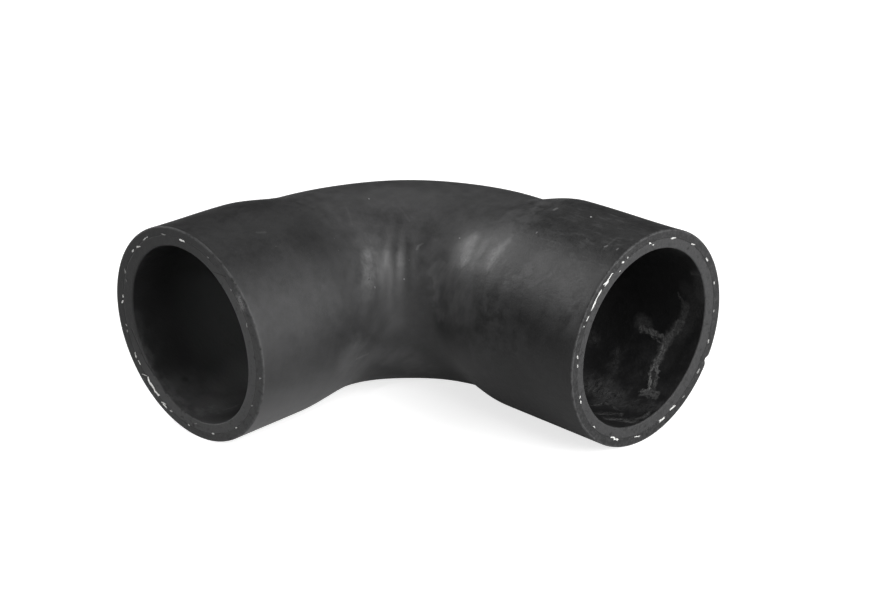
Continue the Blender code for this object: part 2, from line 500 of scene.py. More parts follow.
# Patches of the bend that are polished by handling, which changes only their gloss. Then paler patches: partly
# pale bloom, and partly painted light that lifts the shaded crotch of the bend and places under the folds.
POLISHED = (
    (472, 234, 464, 264, 9, 1),
    (491, 238, 478, 262, 8, 0.7),
    (511.5, 237, 489, 267, 10, 1),
    (500, 238, 484, 262, 36, 0.6),
    (545, 268, 585, 292, 26, 0.2),
    (367.5, 248, 368.6, 278, 6, 1),
    (385, 252, 385.5, 262, 3.6, 0.4),
    (400, 254, 400, 262, 3.4, 0.4),
)
POWDER_AND_FILL_LIGHT = (
    (458, 264, 456, 305, 34, 1),
    (440, 268, 442, 312, 14, 1),
    (374, 302, 384, 324, 30, 0.35),
    (436, 250, 436, 296, 20, 0.45),
    (498, 238, 484, 262, 34, 0.3),
    (350, 358, 420, 368, 26, 0.55),
    (380, 195, 430, 205, 30, 0.3),
)
# Painted highlights: streaks on the shoulder and on the ridges of the folds. Then the paler mottled patches
# beside them, which are partly bloom and partly painted highlight.
PAINTED_HIGHLIGHTS = (
    (473, 239, 471, 243, 6, 0.9),
    (471, 243, 465.5, 258, 5, 0.6),
    (508, 242, 500, 250, 3.5, 0.5),
    (501, 248, 495, 254, 5, 0.7),
    (493, 255, 489, 264, 6.5, 0.7),
    (484, 243, 478, 256, 4, 0.3),
    (472, 264, 486, 266, 6, 0.25),
    (368, 255, 369, 281, 7.5, 0.66),
    (366, 246, 369.4, 292, 10, 0.24),
    (385, 254, 385.5, 264, 3.6, 0.22),
    (399.6, 256, 399.4, 263, 3.4, 0.22),
    (357, 290, 358, 298, 5, 0.1),
    (387, 294, 388, 306, 5, 0.06),
    (400, 292, 401, 304, 5, 0.06),
)
MOTTLED = (
    (548, 254, 536, 276, 18, 0.3),
    (564, 270, 578, 294, 20, 0.4),
    (530, 270, 512, 280, 12, 0.4),
)
# Painted shade: the gaps between the folds' painted highlights, the lower side of the long cuff and other
# places that are painted darker, with one dark spot. Then pale flecks.
PAINTED_SHADE = (
    (567.5, 268, 568.5, 268.5, 5, 0.5),
    (522, 314, 562, 350, 30, 0.85),
    (558, 336, 566, 372, 20, 0.7),
    (498, 298, 520, 306, 12, 0.35),
    (377, 248, 378, 288, 6.5, 0.7),
    (392, 248, 392, 290, 6, 0.62),
    (408, 248, 408, 288, 7, 0.55),
    (306, 236, 344, 278, 22, 0.42),
    (385, 280, 400, 286, 8, 0.4),
    (376, 290, 404, 297, 16, 0.4),
    (588, 304, 589, 328, 14, 0.35),
    (563, 264, 592, 266, 22, 0.4),
    (592, 262, 594, 288, 16, 0.5),
    (578, 286, 594, 310, 18, 0.3),
)
FLECKS = (
    (375, 287.2, 375.2, 287.4, 1.5, 0.3),
    (404, 279, 404.3, 279.4, 1.5, 0.3),
    (459.6, 238, 459.8, 238.4, 1.5, 0.3),
    (591, 216.6, 591.4, 216.8, 1.5, 0.9),
    (604.6, 246.8, 607.2, 245.8, 2.2, 0.24),
    (616.8, 249, 618.4, 248.4, 2, 0.2),
    (536.2, 232.6, 537.4, 232.4, 1.8, 0.3),
    (368.4, 198.8, 368.8, 199.2, 1.5, 0.35),
    (554, 209.4, 557, 208.2, 4, 0.14),
)
# Where each mouth's edge is scuffed.
SHORT_RIM_SCUFF = ((239, 297.5, 242.4, 307, 6.5, 0.28),)
LONG_RIM_SCUFF = ((709.8, 351, 706.8, 358.6, 2.4, 0.30),)
# In the long bore: what ran down and dried, and the crust on the floor.
DRIED_STREAK = (
    (678, 292, 682, 301, 2.4, 0.34),
    (682, 301, 686, 306.5, 3.2, 0.3),
    (686.5, 306, 681.5, 320, 7.5, 0.28),
    (681.5, 320, 671.5, 336, 8, 0.34),
    (677.5, 321, 668, 339, 2.4, 0.48),
    (670.5, 336, 663, 348, 8.5, 0.48),
    (663, 348, 658, 359, 8, 0.48),
    (663.5, 343, 657.5, 357, 2.6, 0.72),
    (658, 359, 655, 366, 6.5, 0.52),
    (694, 306, 678, 334, 16, 0.1),
    (676, 342, 664, 366, 12, 0.06),
    (654, 364, 650, 372, 2.2, 0.75),
    (650, 372, 648.8, 388, 2.6, 0.76),
    (657, 366, 657, 373, 3.2, 0.65),
    (656.5, 373, 654.6, 386, 3.6, 0.46),
    (652.5, 368, 652.5, 384, 5, 0.16),
    (640.5, 392, 647, 390, 3.2, 0.55),
    (642, 394.5, 650, 391.5, 3.6, 0.36),
    (648, 394, 656.5, 396, 3.6, 0.32),
    (652, 389.5, 657.5, 393, 3, 0.36),
    (646.5, 394, 648, 398, 2, 0.28),
    (653, 395, 655, 399, 2, 0.26),
    (641, 327, 652, 334, 3.6, 0.52),
    (652, 331.5, 665, 338.5, 4, 0.52),
    (650, 335, 660, 342, 1.8, 0.56),
    (640.5, 331, 647, 330.5, 2.4, 0.46),
    (641.5, 321.5, 645, 324.5, 12, 0.24),
    (693, 273.5, 699, 274.5, 4.5, 0.22),
    (699, 276, 700, 296, 12, 0.13),
    (686, 288, 693, 300, 12, 0.09),
)
CRUSTY_FLOOR = (
    (590, 405, 606, 404, 3.4, 0.34),
    (606, 404, 617, 409, 3, 0.26),
    (604, 418, 619, 420, 4.4, 0.4),
    (619, 420, 636, 421, 4.4, 0.42),
    (636, 419, 650, 411.5, 4, 0.3),
    (598, 413, 620, 414, 5, 0.3),
    (590, 384, 616, 397, 18, 0.3),
    (600, 402, 650, 406, 12, 0.16),
    (656, 392, 674, 384, 12, 0.08),
    (590, 337, 595, 341, 8, 0.22),
    (616, 356, 604, 388, 9, 0.2),
    (650, 352, 640, 372, 16, 0.06),
)
# In the short bore: old stains, painted light low on its right, and one dark spot.
SHORT_BORE_STAINS = (
    (138, 268, 146, 258, 9, 0.09),
    (136, 312, 141, 335, 9, 0.06),
    (143, 345, 163, 388, 9, 0.12),
    (166, 389, 196, 414, 12, 0.14),
    (200, 412, 238, 408, 12, 0.3),
    (213, 413, 226, 409, 2.4, 0.8),
    (226, 409, 238, 406, 2.4, 0.85),
    (204, 408, 219, 405, 2.4, 0.55),
)
SHORT_BORE_PAINTED_LIGHT = (
    (222, 405, 242, 399, 21, 0.42),
    (230, 390, 246, 376, 24, 0.34),
)
SHORT_BORE_SPOT = ((184.8, 378.6, 185.6, 379.4, 7.0, 0.80),)
# The deeper scores of the knife on the two faces.
SHORT_KNIFE_MARKS = (
    (212.5, 271.5, 226, 276.5, 1.6, 0.7),
    (131.5, 328.5, 146, 362, 2.2, 0.8),
    (146, 362, 166, 393, 2.2, 0.8),
)
LONG_KNIFE_MARK = ((571, 352, 578, 345, 1.6, 0.50),)

soft_marks = SCRATCHES, POLISHED, POWDER_AND_FILL_LIGHT, PAINTED_HIGHLIGHTS, MOTTLED, PAINTED_SHADE
scratches, polished, powder_and_fill_lines, highlight_lines, mottled, painted_shade_lines = (
    mark_lines(marks, on_outside, SOFT) for marks in soft_marks)
flecks = mark_lines(FLECKS, on_outside)
rim_scuffs = mark_lines(SHORT_RIM_SCUFF, on_short_face) + mark_lines(LONG_RIM_SCUFF, on_long_face)
streak_lines = mark_lines(DRIED_STREAK, on_long_bore, BORE_SLANT)
floor_lines = mark_lines(CRUSTY_FLOOR, on_long_bore, BORE_SLANT)
short_stains = mark_lines(SHORT_BORE_STAINS, on_short_bore, BORE_SLANT)
short_painted_light = mark_lines(SHORT_BORE_PAINTED_LIGHT, on_short_bore, BORE_SLANT)
short_spot = mark_lines(SHORT_BORE_SPOT, on_short_bore)
knife_marks = mark_lines(SHORT_KNIFE_MARKS, on_short_face) + mark_lines(LONG_KNIFE_MARK, on_long_face)
first_mark = [round(v * 1000, 1) for v in streak_lines[0][0]]
print(len(streak_lines), "parts of the streak, the first at", first_mark)

# %% [markdown]
# ## Rubber, outside
#
# Cured rubber is dark grey with a satin gloss, and its gloss is never even: handling polishes it, and a grey
# bloom works its way out in clouds. The clouds could be a picture, but noise at several sizes gives them
# without one: soft clouds, a mottle of a few millimetres, and finer grains. Where the hose was wiped or
# dragged, the noise is drawn out the same way. The ripples of the cloth tape that held the rubber during the
# cure follow the hose, so they read the length along it from the mesh.
# Some of the colour is painted light: highlights on the shoulder and on the ridges of the folds, painted shade
# on the tops of the cuffs, on the undersides and between the folds, painted light in the shaded crotch of the
# bend, and a painted reflection of the floor under the short cuff.

# %% The outside's finish
RIPPLE_PITCH = 0.00385
DRAWN_OUT = 0.25  # the share to which a smear's noise is squeezed
# The shoulder of the long cuff was wiped or dragged along the way these two pixels of the photograph lie.
DRAG = (511.5, 237.0), (489.0, 266.0)
drag_ends = surface(*on_outside(np.array(DRAG)))
drag_way = Vector(drag_ends[1] - drag_ends[0]).normalized()
LONG_WAY = Vector(centre_line(np.array([LENGTH]))[1][0])  # smears on the long cuff run along it


def scuffed_rims(finish, here, grain):
    """Where the rims are scuffed, which goes over their edges onto both surfaces."""
    return finish.ragged(here, rim_scuffs, 0.0012, 0.0010, 0.0, 1.7) * grain.between(0.3, 0.6)


def outside_finish():
    finish = new_finish("outside_rubber", RUBBER)
    here = finish.place()
    clouds = finish.noise(here, 0.010, 5, 0.6)
    mottle = finish.noise(here, 0.0036, 5, 0.66)
    fine = finish.noise(here, 0.0012, 4, 0.7)
    grain = finish.noise(here, 0.0005, 3, 0.6)
    dragged = finish.noise(finish.squeezed(here, drag_way, DRAWN_OUT), 0.0036, 3, 0.55)
    smeared = finish.noise(finish.squeezed(here, LONG_WAY, DRAWN_OUT), 0.0014, 4, 0.65)

    # Regions. Along is in metres from the short mouth, up is 1 on top and out is 1 on the outer side.
    up, out, along = (finish.attribute(name) for name in ("up", "out", "along"))
    on_short, on_long = 1 - along.between(0.030, 0.050), along.between(0.080, 0.098)
    past_leg = along.between(0.040, 0.055)
    cuffs = on_short + along.between(0.078, 0.090)
    top = up.between(-0.2, 0.9)
    # The crown of each cuff: a stronger fine mottle, and painted shade.
    crown = up.between(0.70, 0.97) * cuffs
    # Under the short cuff, which is painted lighter: a painted reflection of the white floor.
    under = on_short * (1 - up.between(-0.9, -0.2))
    # The underside of the long cuff, which carries painted shade and is rougher.
    shaded_underside = along.between(0.075, 0.100) * (1 - up.between(-0.6, 0.35))
    # The underside of the bend and of the long leg, which carries painted shade and is rougher.
    shaded_belly = past_leg * (1 - up.between(-0.85, -0.40))
    inner = (0.0 - out).between(-0.1, 0.7) * (1 - past_leg)

    # The long end is weathered in patches, and the short end is even. The tops of the two cuffs and the
    # underside of the long cuff are painted darker, as painted shade. The underside of the short cuff is
    # painted lighter, a painted reflection of the white floor.
    uneven = 0.24 + along.between(0.064, 0.088) * 0.66 + crown * 0.7
    patches = (clouds - 0.5) * 2.4 + (mottle - 0.5) * 3.6 + (fine - 0.5) * (1.3 + crown * 1.8)
    # Under the short cuff the bloom is painted stronger, a painted reflection of the floor.
    bloom = (0.5 + patches * uneven).between(-0.1, 1.1) * (0.55 + top * 0.45 + under * 0.9)
    # Painted shade: less bloom on the tops of the cuffs and on the underside of the long cuff.
    bloom = bloom * (1 - up.between(0.42, 0.82) * cuffs * 0.62) * (1 - shaded_underside * 0.65)

    # Marks, dust, painted highlights and painted shade, and then every coat in order.
    smears = smeared.between(0.50, 0.74) * on_long * (0.10 + top * 0.40)
    # Pale bloom, and painted light that lifts the shaded crotch of the bend and places under the folds.
    powder_and_fill_light = finish.ragged(here, powder_and_fill_lines, 0.005, 0.004) * (0.5 + dragged.between(0.35, 0.65) * 0.5)
    # Paler patches in the long cuff's highlight: partly bloom, partly painted highlight.
    worn = finish.ragged(here, mottled, 0.003, 0.002) * mottle.between(0.38, 0.60)
    # Painted highlights on the shoulder and on the ridges of the folds.
    highlight_streaks = finish.ragged(here, highlight_lines, 0.0016, 0.0007, 0.0, 2.3)
    specks = finish.dots(here, 0.0042, 0.045) * clouds.between(0.45, 0.62)
    dust = finish.dots(here, 0.0017, 0.10) * mottle.between(0.5, 0.65) * (top + on_long * 0.4)
    tone = finish.coats(
        grey(0.013, 0.0003),
        (bloom, grey(0.058, 0.001)),
        # painted shade under the long cuff
        (shaded_underside * 0.6, SHADE_BLACK),
        # painted reflection of the floor under the short cuff
        (under * 0.6, grey(0.095, 0.001)),
        # painted shade on the tops of the cuffs
        (crown * 0.5, grey(0.005, 0.0002)),
        (smears, grey(0.075, 0.001)),
        # painted shade underneath
        (shaded_belly * 0.8, SHADE_BLACK),
        # pale bloom, and painted light in the shaded crotch
        (powder_and_fill_light, grey(0.085, 0.001)),
        # pale patches, partly bloom and partly painted highlight
        (worn, grey(0.10, 0.001)),
        # painted shade, and one dark spot
        (finish.ragged(here, painted_shade_lines, 0.003, 0.001, 0.0, 1.7), SHADE_BLACK),
        # painted highlights
        (highlight_streaks * (0.55 + fine.between(0.3, 0.7) * 0.45), grey(0.15, 0.001)),
        (specks * 0.45 + dust * 0.22, grey(0.24)),
        (finish.lines(here, scratches) * mottle.between(0.2, 0.55), grey(0.17)),
        (finish.lines(here, flecks), grey(0.55)),
        (scuffed_rims(finish, here, grain), grey(0.40)))

    polish = finish.ragged(here, polished, 0.004, 0.004, 0.0, 1.9)
    rough = 0.44 + bloom * 0.18 - polish * 0.13 + (dragged - 0.5) * polish * 0.35
    rough = rough - highlight_streaks * 0.08 + shaded_underside * 0.15 + shaded_belly * 0.15
    ripples = finish.wave(along, RIPPLE_PITCH) * inner * clouds.between(0.35, 0.7)
    relief = grain * 0.00003 + ripples * 0.000012 + dragged * (0.00003 + polish * 0.00010)
    relief = relief + (mottle * 0.00011 + clouds * 0.00024 + fine * 0.00004) * (0.1 + uneven * 0.7)
    return finish.surface({"Base Color": tone, "Roughness": rough, "Normal": finish.bump(relief)})


# %% [markdown]
# ## Rubber, cut
#
# Each end was trimmed with a knife, which leaves matt rubber with faint scores. The fabric lies at the middle
# of the wall and splits it into two layers: the inner one is a little lighter.
# Its rounded outer edge is painted lighter, a painted highlight.

# %% The faces' finish


def face_finish():
    finish = new_finish("cut_rubber", RUBBER)
    here = finish.place()
    up, out, along, depth = (finish.attribute(name) for name in ("up", "out", "along", "depth"))
    mottle = finish.noise(here, 0.0016, 4, 0.6)
    grain = finish.noise(here, 0.0003, 3, 0.6)
    crumbs = finish.noise(here, 0.0008, 3, 0.6)
    waver = depth + (finish.noise(here, 0.003, 3, 0.6) - 0.5) * 0.16
    seam = waver.between(0.40, 0.44) * (1 - waver.between(0.45, 0.49))
    # The outer edge of the face, painted lighter as a painted highlight.
    edge_highlight = 1 - depth.between(0.01, 0.05)
    on_long = along.between(0.04, 0.06)
    shade = (up + out).between(-0.5, 1.1) * (1 - on_long)
    scores = finish.lines(here, knife_marks)
    outer = finish.mix(on_long, grey(0.030, 0.0004), grey(0.014, 0.0003))
    inner = finish.mix(on_long, grey(0.048, 0.0006), grey(0.033, 0.0006))
    tone = finish.coats(
        outer,
        (waver.between(0.42, 0.50), inner),
        (mottle.between(0.4, 0.75) * 0.4, grey(0.055, 0.001)),
        (1 - mottle.between(0.25, 0.45), grey(0.008)),
        (crumbs.between(0.42, 0.7) * 0.2, grey(0.075, 0.001)),
        (shade * 0.85, grey(0.010, 0.0002)),
        (seam * 0.6, grey(0.007, 0.0002)),
        # painted highlight along the outer edge
        (edge_highlight * mottle.between(0.3, 0.6) * 0.55, grey(0.080, 0.001)),
        (scores, grey(0.005)),
        (scuffed_rims(finish, here, grain), grey(0.45)))
    relief = finish.bump(grain * 0.00004 + mottle * 0.00012 - scores * 0.0001 - seam * 0.00006)
    rough = 0.52 + mottle * 0.2
    values = {"Base Color": tone, "Roughness": rough, "Specular IOR Level": 0.35, "Normal": relief}
    return finish.surface(values)


# %% [markdown]
# ## Rubber, bore
#
# The bore took its smooth skin from the mandrel. Deep in the short bore and low on its wall its colour is
# painted lighter, and lighter still low on its right: painted light, where light comes in at the short mouth.
# Near the long mouth a drop ran down, branched and dried into a pale crust, and the floor below it is crusty
# too. The streak could be a mesh of its own, but it is far thinner than the wall, so it is painted: each of its
# stretches is the distance to a short line on the bore, with noise to fray the edge.

# %% The bore's finish


def bore_finish():
    finish = new_finish("bore_rubber", RUBBER)
    here = finish.place()
    along, up = finish.attribute("along"), finish.attribute("up")
    clouds = finish.noise(here, 0.010, 5, 0.6)
    mottle = finish.noise(here, 0.0026, 5, 0.65)
    grain = finish.noise(here, 0.0006, 4, 0.7)
    stain = clouds.between(0.42, 0.75) * mottle.between(0.35, 0.7)
    short_end = 1 - along.between(0.060, 0.090)
    # Deep in the short bore and low on its wall the colour is painted lighter: painted light, where light comes
    # in at the mouth.
    deep = along.between(0.010, 0.034) * short_end
    low_side = (1 - up.between(-1.0, -0.60)) * short_end * (0.36 + mottle.between(0.3, 0.65) * 0.34)
    bore_painted_light = deep.math("MAXIMUM", low_side)
    floor = finish.ragged(here, floor_lines, 0.003, 0.0022, 0.0, 1.7) * mottle.between(0.18, 0.72)
    crust = finish.ragged(here, streak_lines, 0.0014, 0.0013) * (0.45 + grain.between(0.35, 0.65) * 0.75)
    tone = finish.coats(
        grey(0.014, 0.0004),
        (stain, grey(0.024, 0.0005)),
        (short_end * 0.6, grey(0.007, 0.0002)),
        # painted light deep in the short bore and low on its wall
        (bore_painted_light, grey(0.065, 0.001)),
        # painted light low on the short bore's right
        (finish.lines(here, short_painted_light, 0.0, 1.8), grey(0.17, 0.002)),
        (finish.ragged(here, short_stains, 0.004, 0.003) * mottle.between(0.3, 0.65), grey(0.17, 0.002)),
        (finish.lines(here, short_spot), grey(0.008)),
        (floor, grey(0.19)),
        (crust, grey(0.22, -0.002)))
    rough = 0.40 + stain * 0.2 + crust * 0.3 + floor * 0.2 + bore_painted_light * 0.2
    relief = mottle * 0.00008 + floor * 0.0012 + crust * 0.00015 + clouds * 0.0003
    return finish.surface({"Base Color": tone, "Roughness": rough, "Normal": finish.bump(relief)})


finishes = [outside_finish(), face_finish(), bore_finish()]
print("finishes", [(material.name, len(material.node_tree.nodes)) for material in finishes])

# %% [markdown]
# ## The skin
#
# The skin is one closed surface with no seam or pole: a profile runs along the outside, over the rounded edge
# of the long mouth, across its face, back through the bore, across the short mouth's face, and meets itself.
# Carrying that profile round every angle gives a grid whose both directions close.

# %% The profile's rows
COLUMNS = 256
OUTSIDE_ROWS, BORE_ROWS = 240, 84
EDGE_ROWS, FACE_ROWS = 6, 14


def mouth_rows():
    """One mouth: reach from the mouth, inset from the flank, and depth through the wall.

    On a rounded edge with the angle t, the reach is round (1 - sin t) and the inset is round (1 - cos t).
    """
    t = np.linspace(0, np.pi / 2, EDGE_ROWS)
    edge = np.stack([RIM_ROUND * (1 - np.sin(t)), RIM_ROUND * (1 - np.cos(t)), 0 * t])
    across = np.linspace(0, 1, FACE_ROWS)[1:-1]
    face = np.stack([0 * across, 0 * across + RIM_ROUND, across])
    back = edge[:, ::-1] + np.array([[0], [0], [1]])
    return np.concatenate([edge, face, back], axis=1)


def profile_rows():
    """Lengths, insets and depths once round the profile, with the index of the surface each row starts."""
    mouth = mouth_rows()
    outside = np.linspace(RIM_ROUND, LENGTH - RIM_ROUND, OUTSIDE_ROWS)[1:-1]
    bore = np.linspace(LENGTH - RIM_ROUND, RIM_ROUND, BORE_ROWS)[1:-1]
    lengths = np.concatenate([outside, LENGTH - mouth[0], bore, mouth[0, ::-1]])
    insets = np.concatenate([0 * outside, mouth[1], 0 * bore, mouth[1, ::-1]])
    depths = np.concatenate([0 * outside, mouth[2], 0 * bore + 1, mouth[2, ::-1]])
    kinds = np.repeat([0, 1, 2, 1], [len(outside), mouth.shape[1], len(bore), mouth.shape[1]])
    return lengths, insets, depths, kinds


row_lengths, row_insets, row_depths, row_kinds = profile_rows()
print("profile of", len(row_lengths), "rows")

# %% The skin's mesh


def add_mesh(name, points, faces):
    """A smooth mesh, as an object at the origin."""
    mesh = bpy.data.meshes.new(name)
    mesh.from_pydata(points.reshape(-1, 3), [], faces)
    mesh.shade_smooth()
    return add_object(name, mesh)


def closed_grid(name, points):
    """A mesh whose rows and columns both close: a face joins a point, its neighbours and the one across."""
    rows, columns = points.shape[:2]
    grid = np.arange(rows * columns).reshape(rows, columns)
    beside, above = np.roll(grid, -1, axis=1), np.roll(grid, -1, axis=0)
    faces = np.stack([grid, beside, np.roll(beside, -1, axis=0), above], axis=-1).reshape(-1, 4)
    return add_mesh(name, points, faces.tolist())


def add_attribute(mesh, name, values):
    attribute = mesh.attributes.new(name, "FLOAT", "POINT")
    attribute.data.foreach_set("value", np.ascontiguousarray(values, np.float32).ravel())


# The folds on the inner side of the bend: where each ridge is seen, in pixels, and its height in metres.
FOLDS = (
    (343, 268, 0.00006),
    (352, 280, 0.00010),
    (357, 270, 0.00008),
    (369.5, 262, 0.00022),
    (384.5, 254, 0.00020),
    (398, 254, 0.00018),
    (411, 262, 0.00008),
    (425, 270, 0.00006),
)
FOLD_WIDTH, FOLD_SIDE, FOLD_SPREAD = 0.0013, 152.0, 21.0
NICK = (706.4, 359.4)
NICK_DEPTH, NICK_REACH, NICK_TURN = 0.0012, 0.0015, 1.7


def folds(lengths, angles):
    """Low ridges, each in an upright plane square to the way the hose runs at the middle of its bend.

    With s the distance along that way, a ridge's height is that of a hump in s times a hump in the angle.
    """
    way = centre_line(np.array([LENGTH / 2]))[1][0]
    spots = np.array(FOLDS)
    ridges = surface(*on_outside(spots[:, 0:2])) @ way
    here = place(lengths, angles, plain_radius(lengths, angles)) @ way
    around = hump((angles - math.radians(FOLD_SIDE)) / math.radians(FOLD_SPREAD))
    heights = spots[:, 2]
    return around * sum(height * hump((here - ridge) / FOLD_WIDTH) for ridge, height in zip(ridges, heights))


def nick(lengths, angles):
    """The bite out of the long mouth's outer edge: a hump in the angle times a hump in the reach."""
    centre = on_long_face(np.array([NICK]))[1][0]
    depth = NICK_DEPTH * hump((angles - centre) / math.radians(NICK_TURN))
    return depth * hump((LENGTH - lengths) / NICK_REACH)


def make_skin():
    angles = np.linspace(0, 2 * np.pi, COLUMNS, endpoint=False)[None] + np.zeros((len(row_lengths), 1))
    lengths = row_lengths[:, None] + 0 * angles
    depths = row_depths[:, None] + 0 * angles
    worn = plain_radius(lengths, angles) + folds(lengths, angles) - nick(lengths, angles)
    outside = worn - row_insets[:, None]
    bore = bore_radius(lengths, angles) + row_insets[:, None]
    radius = outside + depths * (bore - outside)
    skin = closed_grid("hose_skin", place(lengths, angles, radius, depths))
    add_attribute(skin.data, "up", np.sin(angles))
    add_attribute(skin.data, "out", np.cos(angles))
    add_attribute(skin.data, "along", np.interp(lengths, ON_CENTRE, ON_INSIDE))
    add_attribute(skin.data, "depth", depths)
    for material in finishes:
        skin.data.materials.append(material)
    # A band between two rows is a mouth's face only if both rows are: else it is the outside or the bore.
    kinds = np.where(row_kinds == 1, np.roll(row_kinds, -1), row_kinds)
    skin.data.polygons.foreach_set("material_index", np.repeat(kinds, COLUMNS))
    return skin


skin = make_skin()
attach(skin, "root")
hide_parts("hose")
print("skin of", 2 * len(skin.data.polygons), "triangles")

# %% [markdown]
# ## Cut yarn ends
#
# The knife cut through the knitted fabric, and its white yarn shows at the middle of the wall: as dots where
# a yarn meets the face end on, and as dashes where it lies in the cut. They could be painted too, but real
# fibre stands a little proud of the rubber and catches the light, so each is a bundle of three thin strands,
# sunk to about half in the face. All the strands of an end are one piece.

# %% Where the yarn ends are
# Start x, start y, stop x, stop y, thickness in pixels, and whiteness from 0 to 1.
SHORT_YARN = (
    (179.8, 239.4, 184.4, 241.9, 2.4, 1),
    (161, 234, 165.2, 234.9, 1.5, 0.45),
    (143.8, 239.8, 145.8, 238.3, 1.8, 0.7),
    (146.4, 237.8, 147.6, 237.2, 1.5, 0.7),
    (137, 246.8, 140, 246.6, 1.7, 0.8),
    (132.8, 250.4, 132.6, 251.8, 2, 0.9),
    (125, 269.4, 125.4, 273, 1.6, 0.45),
    (126, 278.8, 126.3, 281.6, 1.2, 0.3),
    (123, 295.8, 123.2, 297.2, 1.9, 0.9),
    (122.5, 301.2, 122.3, 303, 2.6, 1),
    (126.2, 324.2, 126.6, 325.8, 1.6, 0.6),
    (127.2, 330.2, 127.7, 332, 1.5, 0.5),
    (134.8, 352.4, 136.2, 357.6, 2, 0.9),
    (138.4, 360.4, 140.6, 364, 2, 0.85),
    (142, 373.8, 147, 376, 1.4, 0.8),
    (147.6, 377, 149.6, 383, 2.9, 1),
    (149.6, 382, 153.4, 387, 3.3, 1),
    (153, 386, 155.6, 392.4, 2.3, 1),
    (155, 391, 158.8, 395.8, 3.1, 1),
    (161.8, 402, 165.4, 404.4, 1.7, 0.9),
    (163.6, 404.6, 167.2, 407.4, 2.7, 1),
    (170.6, 410.6, 171.6, 411.6, 2, 0.8),
    (188.2, 424.8, 189.2, 425.4, 1.8, 0.8),
    (195, 423.4, 197, 423.8, 1.4, 0.3),
    (212.4, 433.5, 213.8, 433.7, 2, 0.8),
    (236, 428, 236.9, 427.8, 2.2, 0.8),
    (251.5, 406, 252.6, 405.6, 1.8, 0.35),
    (259.2, 378.8, 261, 378.2, 1.6, 0.6),
    (246.4, 322.8, 246.9, 327, 1.5, 0.4),
    (207.4, 257.2, 208.6, 258, 1.4, 0.3),
    (230.8, 289.6, 231.4, 290.8, 1.4, 0.35),
)
LONG_YARN = (
    (671.2, 238.4, 675.8, 237.9, 1.8, 0.9),
    (649.6, 243.2, 650.6, 243, 2, 0.9),
    (652.8, 244.9, 653.6, 244.6, 1.8, 0.8),
    (691.6, 243.8, 695, 244.4, 1.8, 0.9),
    (706.2, 257.8, 707.2, 261.2, 2, 0.85),
    (713.8, 282, 714.2, 283.8, 2, 0.8),
    (713.8, 310.2, 713.9, 312, 1.7, 0.5),
    (708.8, 339.8, 708.4, 342.2, 2.2, 0.7),
    (699.6, 368.8, 697.4, 373.2, 2, 0.6),
    (684, 395.8, 682.4, 397.8, 1.8, 0.4),
    (675, 405.8, 670.6, 409.8, 2.4, 0.95),
    (664.6, 417.4, 660, 421.8, 2.9, 1),
    (639.8, 435.7, 634.6, 437.1, 2, 0.9),
    (611.2, 437.4, 615, 438, 2.5, 1),
    (614.4, 439.4, 618.2, 439.6, 2.5, 1),
    (593.8, 426.4, 594.8, 427.8, 2.2, 0.8),
    (580.2, 396.2, 580, 398, 2, 0.8),
    (580.2, 401.4, 580.6, 403, 2.2, 0.85),
    (577.6, 356.4, 577.5, 358.4, 2, 0.8),
    (577.6, 365.2, 577.6, 367, 2, 0.8),
    (583.8, 327.4, 584.2, 326.2, 1.6, 0.7),
    (586.8, 320.8, 588.4, 316.6, 2.1, 0.9),
    (590.8, 310.6, 596, 300, 2.3, 1),
    (595.8, 300.4, 601.2, 290, 2.4, 1),
    (604.4, 285.4, 607.6, 280.6, 3, 1),
    (607.4, 281, 612.4, 273.2, 1.9, 1),
    (619.6, 271.6, 620.4, 270.6, 1.6, 0.6),
    (622.4, 262.8, 623.6, 261.6, 2.3, 1),
    (627.6, 258, 628.4, 257.2, 1.8, 0.6),
)

# %% The strands
STRANDS, STATIONS, STRAND_SIDES = 3, 11, 8
STRAND_SPREAD = 0.26  # of a yarn's thickness, how far its strands lie off its middle
STRAND_SHARE = 0.50  # a strand's thickness, as a share of its yarn's
PROUD = 0.5  # how far a strand stands off the face, as a share of its half thickness
STRAND_WANDER = 0.35  # how far it leaves its straight line, as a share of its half thickness
THINNEST, THICKEST = 0.75, 1.15  # times its usual thickness


def face_normal(length):
    """The way a face looks: square to the plane through three points of its rim."""
    angles = np.radians([0.0, 120.0, 240.0])
    rim = surface(np.full(3, length), angles, np.zeros(3))
    normal = np.cross(rim[1] - rim[0], rim[2] - rim[0])
    normal = normal / np.linalg.norm(normal)
    half_way = surface(np.full(3, LENGTH / 2), angles, np.ones(3)).mean(axis=0)
    return normal * np.sign(normal @ (rim.mean(axis=0) - half_way))


